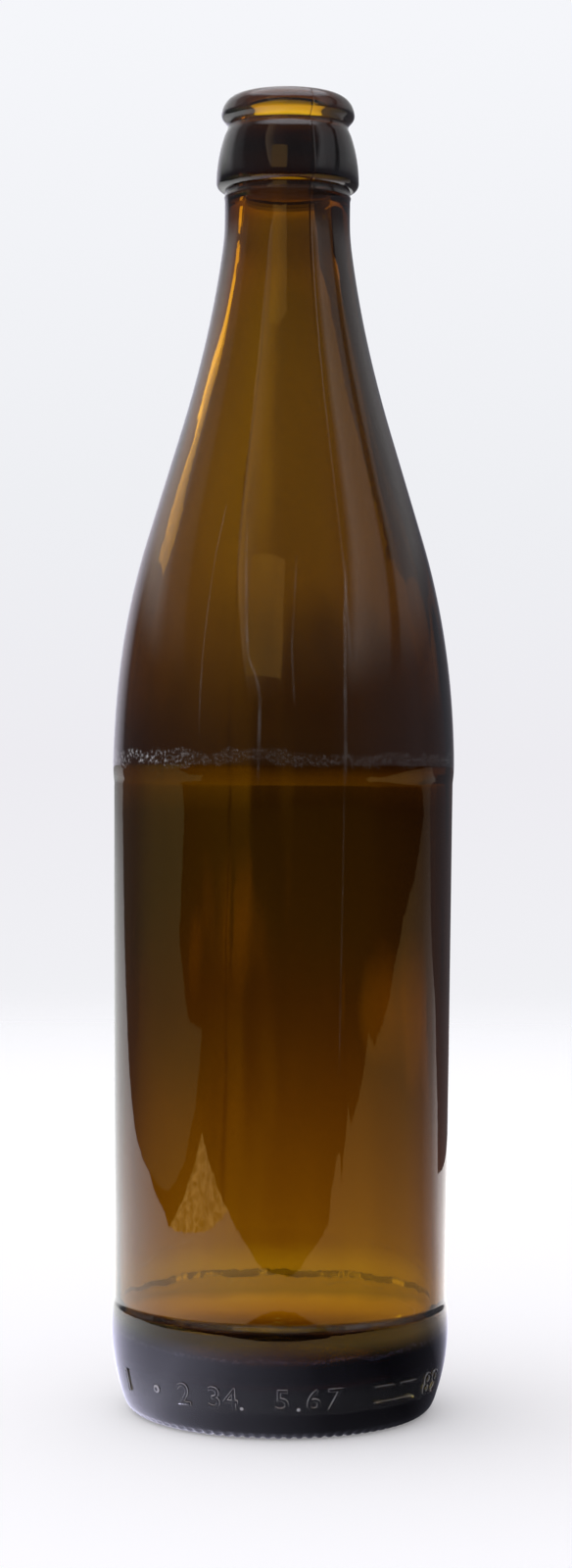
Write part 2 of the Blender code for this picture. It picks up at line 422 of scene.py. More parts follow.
def deepen():
    # from the root inside the wall up to the raised face
    rise, root = heelMarks["rise"] * mm, heelMarks["root"] * mm
    editAll()
    bpy.ops.transform.translate(value=(0, 0, (rise - root) / 2))
    leaveEdit()


def makeNumeral(digit):
    bpy.ops.object.text_add()
    words = bpy.context.object.data
    words.body = digit
    words.size = heelMarks["height"] * mm / heelMarks["capShare"]
    words.resolution_u = 4
    words.bevel_depth = heelMarks["edge"] * mm
    words.bevel_resolution = 2
    words.offset = -heelMarks["thinned"] * mm
    words.extrude = (heelMarks["rise"] + heelMarks["root"]) / 2 * mm - words.bevel_depth
    bpy.ops.object.convert(target="MESH")
    centreOnOrigin()
    closeSkin()
    deepen()


def makeDot(size, rise):
    bpy.ops.mesh.primitive_uv_sphere_add(segments=18, ring_count=10, radius=size / 2 * mm)
    editAll()
    bpy.ops.transform.resize(value=(1, 1, 2 * rise / size))
    leaveEdit()


def makeBar(long, lift):
    bpy.ops.mesh.primitive_cube_add(size=mm)
    depth = heelMarks["rise"] + heelMarks["root"]
    editAll()
    bpy.ops.transform.resize(value=(long, heelMarks["stroke"], depth))
    bpy.ops.mesh.bevel(offset=0.2 * mm, segments=3, affect="EDGES")
    bpy.ops.mesh.select_all(action="SELECT")
    bpy.ops.transform.translate(value=(0, lift * mm, 0))
    leaveEdit()
    deepen()


def makeMarks():
    made = []
    z = heelMarks["middleZ"]
    for kind, azimuth in heelMarks["row"]:
        if kind == "stud":
            makeDot(heelMarks["stud"], heelMarks["rise"])
            made.append(placeMark(azimuth, z))
        elif kind == "dot":
            makeDot(heelMarks["dot"], heelMarks["dotRise"])
            made.append(placeMark(azimuth, z - heelMarks["height"] / 2 + heelMarks["dotUp"]))
        elif kind == "bars":
            # two plain short bars side by side over a long one
            for aside, lift, long in heelMarks["bars"]:
                makeBar(long, lift)
                made.append(placeMark(azimuth + aside, z))
        else:
            makeNumeral(kind)
            made.append(placeMark(azimuth, z))
    bpy.ops.object.select_all(action="DESELECT")
    for mark in made:
        mark.select_set(True)
    bpy.context.view_layer.objects.active = made[0]
    bpy.ops.object.join()
    return bpy.context.object


def raiseMarks(bottle):
    marks = makeMarks()
    marks.select_set(False)
    bottle.select_set(True)
    bpy.context.view_layer.objects.active = bottle
    union = bottle.modifiers.new("marks", "BOOLEAN")
    union.operation = "UNION"
    union.solver = "MANIFOLD"
    union.object = marks
    bpy.ops.object.modifier_apply(modifier=union.name)
    bpy.data.objects.remove(marks)


raiseMarks(bottle)
bpy.ops.object.shade_smooth_by_angle(angle=math.radians(38))
print("heel marked:", len(bottle.data.polygons), "faces")

# Amber soda-lime container glass, blown and pressed in an iron mould. It is clear and dark: blue is
# taken out almost at once and red last, so thin walls look honey brown and thick ones nearly black.
# Its faces are fire bright with slow waves, and returnable bottles carry two dull scuffed rings
# where they rub against each other in the crate. Sizes and heights are in mm.
amberGlass = {
    "ior": 1.52, "polish": 0.02, "scuffRoughness": 0.42, "scuffAndSheenTint": "#b7afc4", "scuffClear": 0.25,
    "absorbs": (0.786, 0.686, 0.0), "perMetre": 1400.0,
    "bodyFace": 31.7, "neckFace": 11.5,     # more than this from the axis is the outer face
    "coneFace": (127.0, 32.2, 172.0, 25.8),     # the same on the cone, as height and radius, twice
    "shoulderScuff": (127.4, 130.6), "veil": 0.034, "sparkle": 0.4,
    "heelScuff": (17.35, 18.35), "heelScuffRise": 4.7, "heelAcross": 66.0, "heelWorn": 0.17,
    "stepScuff": (20.8, 22.8), "stepWorn": (0.02, 0.75),
    # how whitened the marks' flanks are at the left and the right: partly rubbing, partly painted highlight
    # from the light on the left
    "markWearAndHighlight": (0.7, 0.3), "markFoot": 4.6, "markTop": 12.0,
    # the grey of the bulge and the dark blue of the foot below are painted shade, not stains in the glass
    "finishVeil": 0.015, "bulgeShade": "#8c8c96", "bulge": (240.5, 253.0),
    "heelVeil": 0.009, "footShade": (0.04, 0.035, 0.10),
    "skinWave": 2.6, "skinRise": 0.010,
    # azimuth and height along each run from its foot up, its width in mm and how dull it is
    "runs": [([(-8.1, 123), (-7.7, 140), (-9.0, 144), (-12.0, 148), (-13.0, 154), (-15.6, 175)],
              0.8, 0.035),
             ([(-28.4, 132), (-28.4, 148), (-27.3, 168), (-25.0, 182)], 0.5, 0.03),
             ([(20.1, 123), (20.3, 142), (21.3, 156), (24.0, 168)], 0.9, 0.045),
             ([(19.1, 68), (19.6, 95), (20.1, 126)], 0.5, 0.014),
             ([(3.5, 138), (2.5, 150), (4.5, 168)], 0.6, 0.02)],
    "runRadius": 32.0, "runHeights": 260.0,
}


def glassPlaces(tree):
    # where a point of the glass is, in mm, and the unevenness that all the wear shares
    place = addNode(tree, "ShaderNodeTexCoord").outputs["Object"]
    inMm = addNode(tree, "ShaderNodeVectorMath", scaled, {0: place, "Scale": 1 / mm}).outputs[0]
    x, y, z = addNode(tree, "ShaderNodeSeparateXYZ", links={0: inMm}).outputs
    flat = addNode(tree, "ShaderNodeCombineXYZ", links={0: x, 1: y})
    reach = addNode(tree, "ShaderNodeVectorMath", length, {0: flat}).outputs["Value"]
    outerFace = addNode(tree, "ShaderNodeMath", isOver, {0: reach, 1: amberGlass["bodyFace"]})
    lowZ, lowReach, highZ, highReach = amberGlass["coneFace"]
    middle = addNode(tree, "ShaderNodeMapRange",
                     links={"Value": z, "From Min": lowZ, "From Max": highZ, "To Min": lowReach,
                            "To Max": highReach})
    onOutside = addNode(tree, "ShaderNodeMath", isOver, {0: reach, 1: middle})
    # the scuffed rings wander in 6 mm swells with 1 mm nicks, and break up into specks
    swell = addNode(tree, "ShaderNodeTexNoise",
                    links={"Vector": inMm, "Scale": 0.16, "Detail": 5.0, "Roughness": 0.6})
    ragged = addNode(tree, "ShaderNodeMapRange",
                     links={"Value": swell, "From Min": 0.25, "From Max": 0.75, "To Min": -1.6,
                            "To Max": 1.6})
    nicked = addNode(tree, "ShaderNodeMath", times, {0: ragged, 1: 0.45})
    specks = addNode(tree, "ShaderNodeTexNoise",
                     links={"Vector": inMm, "Scale": 1.6, "Detail": 3.0, "Roughness": 0.7})
    return dict(place=place, inMm=inMm, x=x, y=y, z=z, reach=reach, outerFace=outerFace,
                onOutside=onOutside, swell=swell, ragged=ragged, nicked=nicked, specks=specks)


def scuffBand(tree, height, ragged, band):
    # a worn ring between two heights in mm, from 0 at its ragged edges to 1 along its middle
    low, high = band
    half = (high - low) / 2
    moved = addNode(tree, "ShaderNodeMath", plus, {0: height, 1: ragged})
    away = addNode(tree, "ShaderNodeMath", minus, {0: moved, 1: (low + high) / 2})
    away = addNode(tree, "ShaderNodeMath", positive, {0: away})
    return addNode(tree, "ShaderNodeMapRange", smooth,
                   {"Value": away, "From Min": half, "From Max": half * 0.4})


def shoulderRing(tree, at):
    glass = amberGlass
    ring = scuffBand(tree, at["z"], at["ragged"], glass["shoulderScuff"])
    veil = addNode(tree, "ShaderNodeMapRange", smooth,
                   {"Value": at["specks"], "From Min": 0.45, "From Max": 0.62,
                    "To Min": glass["veil"] * 0.1, "To Max": glass["veil"]})
    # its left gets more and whiter specks: a painted sparkle, the highlight of the light from the left, over
    # the real scuff
    sparks = addNode(tree, "ShaderNodeMapRange", smooth,
                     {"Value": at["specks"], "From Min": 0.52, "From Max": 0.66,
                      "To Max": glass["sparkle"]})
    onLeft = addNode(tree, "ShaderNodeMapRange", smooth,
                     {"Value": at["x"], "From Min": -14.0, "From Max": -30.0})
    sparkle = addNode(tree, "ShaderNodeMath", timesPlus, {0: sparks, 1: onLeft, 2: veil})
    return addNode(tree, "ShaderNodeMath", times, {0: ring, 1: sparkle})


def heelRing(tree, at):
    # a thin broken line, higher at the back
    glass = amberGlass
    rise = glass["heelScuffRise"] / glass["heelAcross"]
    tilted = addNode(tree, "ShaderNodeMath", timesPlus, {0: at["y"], 1: -rise, 2: at["z"]})
    ring = scuffBand(tree, tilted, at["nicked"], glass["heelScuff"])
    broken = addNode(tree, "ShaderNodeMapRange", smooth,
                     {"Value": at["specks"], "From Min": 0.46, "From Max": 0.60, "To Min": 0.02,
                      "To Max": glass["heelWorn"]})
    return addNode(tree, "ShaderNodeMath", times, {0: ring, 1: broken})


def stepRing(tree, at):
    # the edge of the step over the heel is nicked, most of all at the back
    ring = scuffBand(tree, at["z"], at["nicked"], amberGlass["stepScuff"])
    few, many = amberGlass["stepWorn"]
    nicks = addNode(tree, "ShaderNodeMapRange",
                    links={"Value": at["y"], "From Min": -12.0, "From Max": 15.0, "To Min": few,
                           "To Max": many})
    torn = addNode(tree, "ShaderNodeMapRange", smooth,
                   {"Value": at["swell"], "From Min": 0.36, "From Max": 0.50})
    for mask in (nicks, torn):
        ring = addNode(tree, "ShaderNodeMath", times, {0: ring, 1: mask})
    return ring


def driedRun(tree, at, azimuth, path, width, dull):
    # one of the dried runs down the front of the shoulder, or the scuffed seam of the mould
    top = amberGlass["runHeights"]
    upShare = addNode(tree, "ShaderNodeMath", {"operation": "DIVIDE"}, {0: at["z"], 1: top})
    along = addNode(tree, "ShaderNodeValToRGB", links={0: upShare})
    setStops(along, [(z / top, (turn / 360 + 0.5,) * 3) for turn, z in path])
    aside = addNode(tree, "ShaderNodeMath", minus, {0: azimuth, 1: along})
    aside = addNode(tree, "ShaderNodeMath", positive, {0: aside})
    half = width / 2 / (math.tau * amberGlass["runRadius"])
    line = addNode(tree, "ShaderNodeMapRange", smooth,
                   {"Value": aside, "From Min": half, "From Max": half * 0.4})
    low, high = path[0][1], path[-1][1]
    away = addNode(tree, "ShaderNodeMath", minus, {0: at["z"], 1: (low + high) / 2})
    away = addNode(tree, "ShaderNodeMath", positive, {0: away})
    ends = addNode(tree, "ShaderNodeMapRange", smooth,
                   {"Value": away, "From Min": (high - low) / 2, "From Max": (high - low) / 2 * 0.7,
                    "To Max": dull})
    patchy = addNode(tree, "ShaderNodeMapRange", smooth,
                     {"Value": at["swell"], "From Min": 0.35, "From Max": 0.62, "To Min": 0.35})
    for mask in (ends, patchy, at["onOutside"]):
        line = addNode(tree, "ShaderNodeMath", times, {0: line, 1: mask})
    return line


def rubbedAndLitMarks(tree, at):
    # the raised marks' flanks, where they stand proud of the heel's arc, are dulled and whitened: partly
    # real rubbing, partly a painted highlight that is stronger on the left, where the light comes from
    arc, (bandRadius, bandZ) = outside["heelArc"], outside["heelBand"]
    under = addNode(tree, "ShaderNodeMath", minus, {0: at["z"], 1: bandZ})
    square = addNode(tree, "ShaderNodeMath", times, {0: under, 1: under})
    square = addNode(tree, "ShaderNodeMath", minus, {0: arc ** 2, 1: square})
    heelFace = addNode(tree, "ShaderNodeMath", {"operation": "SQRT"}, {0: square})
    centred = addNode(tree, "ShaderNodeMath", plus, {0: at["reach"], 1: arc - bandRadius})
    proud = addNode(tree, "ShaderNodeMath", minus, {0: centred, 1: heelFace})
    flank = addNode(tree, "ShaderNodeMapRange", smooth,
                    {"Value": proud, "From Min": 0.11, "From Max": 0.18})
    below = addNode(tree, "ShaderNodeMapRange", smooth,
                    {"Value": proud, "From Min": 0.39, "From Max": 0.31})
    atLeft, atRight = amberGlass["markWearAndHighlight"]
    rubbedAndLit = addNode(tree, "ShaderNodeMapRange",
                     links={"Value": at["x"], "From Min": -18.0, "From Max": 20.0, "To Min": atLeft,
                            "To Max": atRight})
    underTop = addNode(tree, "ShaderNodeMath", isUnder, {0: at["z"], 1: amberGlass["markTop"]})
    overFoot = addNode(tree, "ShaderNodeMath", isOver, {0: at["z"], 1: amberGlass["markFoot"]})
    for mask in (rubbedAndLit, below, underTop, overFoot):
        flank = addNode(tree, "ShaderNodeMath", times, {0: flank, 1: mask})
    return flank


def glassWearAndSheen(tree, at, onFinish):
    # from 0 where the glass is bright to 1 where it is ground dull; on the marks' flanks and the shoulder
    # scuff's left it also carries painted highlight
    glass = amberGlass
    wearAndSheen = shoulderRing(tree, at)
    # the heel below its ring is faintly dulled all over, and so is the outside of the finish
    heelDull = addNode(tree, "ShaderNodeMapRange", smooth,
                       {"Value": at["z"], "From Min": 22.0, "From Max": 18.0, "To Max": glass["heelVeil"]})
    for other in (heelRing(tree, at), stepRing(tree, at), heelDull):
        wearAndSheen = addNode(tree, "ShaderNodeMath", greater, {0: wearAndSheen, 1: other})
    wearAndSheen = addNode(tree, "ShaderNodeMath", times, {0: wearAndSheen, 1: at["outerFace"]})
    finishDull = addNode(tree, "ShaderNodeMapRange", smooth,
                         {"Value": at["z"], "From Min": 236.0, "From Max": 243.0,
                          "To Max": glass["finishVeil"]})
    wearAndSheen = addNode(tree, "ShaderNodeMath", timesPlus, {0: finishDull, 1: onFinish, 2: wearAndSheen})
    azimuth = azimuthOf(tree, at["place"])
    lines = [driedRun(tree, at, azimuth, *run) for run in glass["runs"]]
    for line in lines + [rubbedAndLitMarks(tree, at)]:
        wearAndSheen = addNode(tree, "ShaderNodeMath", greater, {0: wearAndSheen, 1: line})
    return wearAndSheen


def glassPaintedShade(tree, at, onFinish):
    # painted shade: the bulge is tinted grey and the thick foot dark blue, most of all on the front, so that
    # what shows through them reads darker
    glass = amberGlass
    low, high = glass["bulge"]
    onBulge = addNode(tree, "ShaderNodeMath", isOver, {0: at["z"], 1: low})
    underTop = addNode(tree, "ShaderNodeMath", isUnder, {0: at["z"], 1: high})
    for mask in (underTop, onFinish):
        onBulge = addNode(tree, "ShaderNodeMath", times, {0: onBulge, 1: mask})
    paintedShade = addNode(tree, "ShaderNodeMix", mixColour,
                    {"Factor": onBulge, "A": (1, 1, 1, 1), "B": linear(glass["bulgeShade"])})
    thick = addNode(tree, "ShaderNodeMapRange", smooth,
                    {"Value": at["z"], "From Min": 21.6, "From Max": 20.6})
    overFoot = addNode(tree, "ShaderNodeMapRange", smooth,
                       {"Value": at["z"], "From Min": 7.5, "From Max": 12.5})
    onFront = addNode(tree, "ShaderNodeMapRange", smooth,
                      {"Value": at["y"], "From Min": -3.0, "From Max": -14.0})
    for mask in (overFoot, at["outerFace"], onFront):
        thick = addNode(tree, "ShaderNodeMath", times, {0: thick, 1: mask})
    return addNode(tree, "ShaderNodeMix", mixColour,
                   {"Factor": thick, "A": paintedShade.outputs["Result"], "B": (*glass["footShade"], 1)})


def makeGlass():
    glass = amberGlass
    material, tree = newMaterial("amber_soda_lime_glass_blown")
    at = glassPlaces(tree)
    onFinish = addNode(tree, "ShaderNodeMath", isOver, {0: at["reach"], 1: glass["neckFace"]})
    wearAndSheen = glassWearAndSheen(tree, at, onFinish)
    # painted shade greys the bulge and darkens the front of the foot
    paintedShade = glassPaintedShade(tree, at, onFinish)
    # the scuff tint whitens real wear, and paints highlight on the marks' flanks and the shoulder scuff's
    # left
    colour = addNode(tree, "ShaderNodeMix", mixColour,
                     {"Factor": wearAndSheen, "A": paintedShade.outputs["Result"], "B": linear(glass["scuffAndSheenTint"])})
    rough = addNode(tree, "ShaderNodeMapRange",
                    links={"Value": wearAndSheen, "To Min": glass["polish"], "To Max": glass["scuffRoughness"]})
    clear = addNode(tree, "ShaderNodeMapRange",
                    links={"Value": wearAndSheen, "To Min": 1.0, "To Max": glass["scuffClear"]})

    # skin of the mould: shallow ripples a few mm across, longer up the bottle than round it
    stretched = addNode(tree, "ShaderNodeMapping", links={"Vector": at["inMm"], "Scale": (1.0, 1.0, 0.35)})
    ripple = addNode(tree, "ShaderNodeTexNoise",
                     links={"Vector": stretched, "Scale": 1 / glass["skinWave"], "Detail": 2.0})
    skin = addNode(tree, "ShaderNodeBump",
                   links={"Strength": 1.0, "Distance": glass["skinRise"] * mm, "Height": ripple})
    shader = addNode(tree, "ShaderNodeBsdfPrincipled",
                     links={"Base Color": colour.outputs["Result"], "Roughness": rough, "IOR": glass["ior"],
                            "Transmission Weight": clear, "Normal": skin})
    amber = addNode(tree, "ShaderNodeVolumeAbsorption",
                    links={"Color": (*glass["absorbs"], 1.0), "Density": glass["perMetre"]})
    addNode(tree, "ShaderNodeOutputMaterial", links={"Surface": shader, "Volume": amber})
    return material


bottle.data.materials.clear()
bottle.data.materials.append(makeGlass())
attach(bottle, "root")
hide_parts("bottle")
print("glass finished")

# what lies round the bottle: the camera sees a pale floor and backdrop, the glass also mirrors a
# lamp-lit sheet with a dim room beyond it and lets the far side through
studio = {
    # a lamp behind on the left, nothing bright behind on the right, and a pale doorway high over the
    # camera's side: name, material, degrees to the right of the camera's side and up, metres away,
    # width, height, light, and how the glass shows it
    "cards": [("key_lamp_top", "lamp_diffuser", -127, 20.0, 2.4, 0.52, 0.33, (9.5, 12.5, 2.5), "through"),
              ("key_lamp_foot", "lamp_diffuser", -128, 15.2, 2.4, 0.36, 0.1, (7.6, 10.0, 2.0), "through"),
              ("dim_side", "dim_wall", 142, 15, 2.4, 2.4, 0.85, (0.1, 0.09, 0.1), "through"),
              ("far_doorway", "pale_wall", -14, 22.5, 2.6, 1.1, 0.95, (0.8, 0.5, 0.2), "mirrored")],
    "cardsFrom": 0.2,       # metres over the floor that the degrees up are counted from
    "light": (1.07, 1.07, 1.09), "lightFrom": (-0.52, 0.05, 0.0),
    "floorReach": 3.0, "floorFade": (0.45, 1.1), "paper": "#fbfafd",
    "paperGlow": 0.2, "glowPower": 1.05,    # the share of the paper that glows, and how strongly
    # degrees over the horizon and what the camera sees there
    "backdrop": [(-17, "#fafafd"), (-8, "#f8f9fc"), (-4, "#f0f0f4"), (0, "#edecf1"), (5, "#eeeff3"),
                 (14, "#f5f6fa")],
    # degrees over the horizon and how bright the far side is there, left and right of the middle
    "farFloor": [(-60, (0.02, 0.02, 0.02)), (-40, (1.0, 0.95, 0.9)), (-27, (1.9, 1.8, 1.6)),
                 (-21, (1.7, 1.5, 1.3)), (-16, (0.9, 0.8, 0.7))],
    "farLeft": [(-10.3, (1.03, 0.88, 0.8)), (-8.4, (0.72, 0.5, 0.4)), (-6.0, (0.61, 0.41, 0.3)),
                (-4.6, (0.42, 0.3, 0.3)), (-3.6, (0.33, 0.22, 0.2)), (-1.4, (0.27, 0.26, 0.2)),
                (-0.6, (0.27, 0.27, 0.3)), (0.1, (0.36, 0.37, 0.3)), (1.4, (0.6, 0.6, 0.6)),
                (3.0, (0.77, 0.77, 0.7)), (6.2, (0.84, 0.86, 0.8)), (10.5, (0.84, 0.92, 0.9)),
                (20.0, (1.6, 1.6, 1.6)), (28.0, (2.6, 2.6, 2.6))],
    "farRight": [(-10.3, (1.03, 0.83, 0.8)), (-8.4, (0.62, 0.39, 0.3)), (-6.0, (0.42, 0.25, 0.2)),
                 (-4.6, (0.29, 0.18, 0.2)), (-3.6, (0.23, 0.15, 0.2)), (-2.3, (0.19, 0.16, 0.2)),
                 (-0.6, (0.165, 0.155, 0.2)), (0.1, (0.14, 0.12, 0.2)), (1.4, (0.22, 0.19, 0.3)),
                 (3.0, (0.49, 0.44, 0.5)), (6.2, (0.49, 0.46, 0.6)), (10.5, (0.48, 0.5, 0.7)),
                 (20.0, (1.2, 1.2, 1.2)), (28.0, (2.6, 2.6, 2.6))],
    "farTurn": (-3.0, 0.0),
    # soft bright places on the far side: middle and half size in degrees, and what they add
    "glows": [((-2.3, -2.3), (2.0, 1.5), (0.3, 0.2, 0.1)),
              ((12.0, -3.7), (10.0, 1.5), (0.7, 0.5, 0.3)),
              ((9.0, -10.0), (8.0, 3.5), (-0.45, -0.4, -0.35)),
              ((-13.0, -4.5), (7.0, 3.0), (-0.25, -0.16, -0.1))],
    # degrees to the right of the camera's side and what the glass mirrors there: high up, and level
    "upperRoom": [(-180, 1.0), (-125, 0.95), (-112, 0.34), (-93, 0.27), (-88, 0.13), (-60, 0.11),
                  (-43.5, 0.1), (-42.5, (0.85, 0.62, 0.42)), (-24, 0.16), (0, 0.1), (30, 0.1),
                  (58, 0.13), (66, 0.75), (80, 0.5), (96, 0.42), (99, 0.1), (106, 0.1), (109, 0.46),
                  (135, 0.5), (165, 0.45), (180, 0.7)],
    "levelRoom": [(-180, 0.9), (-150, 0.75), (-141, 0.45), (-136, 0.1), (-60, 0.09), (-20, 0.05),
                  (30, 0.05), (60, 0.13), (100, 0.17), (112, 0.13), (160, 0.12), (172, 0.3), (180, 0.6)],
    "levelTint": (1.0, 0.97, 1.12), "upperFrom": (9.0, 19.0),
    "ceilingFrom": (48.0, 60.0), "ceiling": (2.6, 2.6, 2.8),
    # edges of the room draw in lower down: degrees for each unit of the height's sine
    "lean": -45.0, "leanBelow": 36.0,
    # degrees to the right of the camera's side and the sheet's light there
    "sheet": [(-180, (1.9, 1.9, 1.9)), (-125, (1.9, 1.9, 1.9)), (-100, (1.6, 1.6, 1.55)),
              (-80, (1.45, 1.35, 1.2)), (-60, (1.35, 1.15, 0.93)), (-37, (1.36, 1.03, 0.63)),
              (-15, (1.1, 0.77, 0.42)), (0, (0.85, 0.55, 0.3)), (40, (1.1, 0.68, 0.2)),
              (65, (1.0, 0.64, 0.2)), (90, (0.95, 0.62, 0.24)), (108, (0.6, 0.45, 0.3)),
              (122, (0.8, 0.7, 0.65)), (135, (1.6, 1.5, 1.5)), (150, (1.9, 1.85, 1.85)),
              (180, (1.9, 1.9, 1.9))],
    # the same close to the bottle, where it shades the sheet, and how far in metres the shade reaches
    "closeSheet": [(-180, 1.2), (-130, 1.7), (-100, 1.3), (-80, 1.4), (-60, 1.65), (-20, 0.65), (0, 0.38),
                   (20, 0.15), (60, 0.04), (105, 0.07), (120, 0.25), (135, 0.6), (150, 1.1), (180, 1.3)],
    "closeTint": (0.99, 0.97, 1.25), "closeReach": (0.08, 0.15),
    "sheetRadius": 12.5, "sheetFalls": (0.25, -0.45),   # full to 0.25 m, then falling by this power
    "dimLeft": [(-142, (0.08, 0.08, 0.08)), (-118, (0.09, 0.09, 0.08)), (-95, (0.22, 0.22, 0.11)),
                (-70, (0.29, 0.29, 0.13)), (-50, (0.29, 0.29, 0.13))],
    "darkFront": (0.012, 0.012, 0.014), "darkRear": (0.1, 0.09, 0.1),
    "creaseScale": 70.0, "creases": [(0.36, (0.9, 0.55, 0.12)), (0.62, (2.9, 1.8, 0.5))],
}

# mm on the floor: where the sheet ends and something darker begins, as the glass mirrors it
room = {
    "front": [(30, -200), (80, -220), (140, -235), (175, -275), (235, -320), (380, -330), (545, -365),
              (670, -400), (665, -315), (865, -245), (1175, -185), (1675, -30), (2350, 415),
              (12000, 6000), (12000, -12000), (-12000, -12000), (-12000, 14800), (-1065, 1090),
              (-490, 325), (-395, 180), (-350, 50), (-285, -40), (-250, -60), (-355, -265),
              (-160, -240), (-90, -225), (-40, -205)],
    "rear": [(255, 235), (385, 350), (730, 565), (1380, 800), (9000, 4600), (9000, 14000),
             (1500, 14000), (110, 420), (160, 345)],
    "left": [(-12000, 14800), (-1065, 1090), (-490, 325), (-395, 180), (-350, 50), (-315, -60),
             (-345, -155), (-430, -255), (-540, -370), (-635, -455), (-775, -360), (-1365, -415),
             (-12000, -4700)],
    "crumpled": [(-355, -265), (-250, -60), (-225, -110), (-190, -170), (-160, -240)],
}


def makeFloor():
    bpy.ops.mesh.primitive_circle_add(vertices=96, radius=studio["floorReach"], fill_type="NGON")
    floor = bpy.context.object
    floor.name = "floor"
    material, tree = newMaterial("white_card_matt")
    place = addNode(tree, "ShaderNodeTexCoord").outputs["Object"]
    away = addNode(tree, "ShaderNodeVectorMath", length, {0: place}).outputs["Value"]
    near, far = studio["floorFade"]
    fade = addNode(tree, "ShaderNodeMapRange", smooth, {"Value": away, "From Min": near, "From Max": far})
    paper = linear(studio["paper"])
    lit = addNode(tree, "ShaderNodeBsdfDiffuse", links={"Color": paper})
    glow = addNode(tree, "ShaderNodeEmission", links={"Color": paper, "Strength": studio["glowPower"]})
    sheet = addNode(tree, "ShaderNodeMixShader", links={0: studio["paperGlow"], 1: lit, 2: glow})
    gone = addNode(tree, "ShaderNodeBsdfTransparent")
    mixed = addNode(tree, "ShaderNodeMixShader", links={0: fade, 1: sheet, 2: gone})
    addNode(tree, "ShaderNodeOutputMaterial", links={"Surface": mixed})
    floor.data.materials.append(material)
    floor.visible_transmission = False
    floor.visible_glossy = False


def finishCard(card, material, tree, colour, seen):
    # only the glass sees the card, mirrored or through itself; colour is a value, socket or node
    glow = addNode(tree, "ShaderNodeEmission", links={"Color": colour})
    addNode(tree, "ShaderNodeOutputMaterial", links={"Surface": glow})
    card.data.materials.append(material)
    card.visible_camera = card.visible_diffuse = card.visible_shadow = False
    card.visible_volume_scatter = False
    card.visible_glossy = seen == "mirrored"
    card.visible_transmission = seen == "through"


def roundStops(stops, tint=(1.0, 1.0, 1.03)):
    # degrees round the bottle to a ramp's 0 to 1; a plain brightness takes the tint
    return [((angle + 180) / 360, tone if isinstance(tone, tuple) else tuple(tone * t for t in tint))
            for angle, tone in stops]


def mirroredSheet():
    # the white sheet under the bottle as its glass mirrors it: lit from the left, warm with the light
    # that falls through the bottle in front, in the bottle's own shade close to its right
    bpy.ops.mesh.primitive_circle_add(vertices=96, radius=studio["sheetRadius"], fill_type="NGON",
                                      location=(0, 0, 0.1 * mm))
    sheet = bpy.context.object
    sheet.name = "mirrored_sheet"
    bpy.ops.object.transform_apply(location=True)
    material, tree = newMaterial("white_card_in_side_light")
    place = addNode(tree, "ShaderNodeTexCoord").outputs["Object"]
    away = addNode(tree, "ShaderNodeVectorMath", length, {0: place}).outputs["Value"]
    around = addNode(tree, "ShaderNodeValToRGB", links={0: azimuthOf(tree, place)})
    setStops(around, roundStops(studio["sheet"]))
    full, power = studio["sheetFalls"]
    far = addNode(tree, "ShaderNodeMath", greater, {0: away, 1: full})
    share = addNode(tree, "ShaderNodeMath", {"operation": "DIVIDE"}, {0: far, 1: full})
    falls = addNode(tree, "ShaderNodeMath", {"operation": "POWER"}, {0: share, 1: power})
    lit = addNode(tree, "ShaderNodeVectorMath", scaled, {0: around, "Scale": falls})
    shade = addNode(tree, "ShaderNodeValToRGB", links={0: azimuthOf(tree, place)})
    setStops(shade, roundStops(studio["closeSheet"], studio["closeTint"]))
    near, clear = studio["closeReach"]
    close = addNode(tree, "ShaderNodeMapRange", smooth,
                    {"Value": away, "From Min": near, "From Max": clear})
    colour = addNode(tree, "ShaderNodeMix", mixColour, {"Factor": close, "A": shade, "B": lit})
    finishCard(sheet, material, tree, colour.outputs["Result"], "mirrored")


def layOnFloor(name, outline, lift):
    # a flat shape a hair over the floor, drawn point by point and filled
    shape = drawPath(name, [Vector((x, y, lift)) * mm for x, y in outline])
    bpy.ops.mesh.select_all(action="SELECT")
    bpy.ops.mesh.edge_face_add()
    leaveEdit()
    return shape


def mirroredRoom():
    # the dark table and room beyond the sheet, something dim standing on the left, and a crumpled
    # corner of wrapping that throws back the amber light
    for side, tone in (("front", studio["darkFront"]), ("rear", studio["darkRear"])):
        shape = layOnFloor("dark_room_" + side, room[side], 0.4)
        material, tree = newMaterial(shape.name)
        finishCard(shape, material, tree, (*tone, 1), "mirrored")
    dim = layOnFloor("dim_things_left", room["left"], 0.7)
    material, tree = newMaterial("dim_wood")
    place = addNode(tree, "ShaderNodeTexCoord").outputs["Object"]
    tones = addNode(tree, "ShaderNodeValToRGB", links={0: azimuthOf(tree, place)})
    setStops(tones, roundStops(studio["dimLeft"]))
    finishCard(dim, material, tree, tones, "mirrored")
    corner = layOnFloor("crumpled_corner", room["crumpled"], 1.0)
    material, tree = newMaterial("crumpled_tissue")
    place = addNode(tree, "ShaderNodeTexCoord").outputs["Object"]
    creases = addNode(tree, "ShaderNodeTexNoise",
                      links={"Vector": place, "Scale": studio["creaseScale"], "Detail": 3.0,
                             "Distortion": 1.2})
    tones = addNode(tree, "ShaderNodeValToRGB", links={0: creases})
    setStops(tones, studio["creases"])
    finishCard(corner, material, tree, tones, "mirrored")


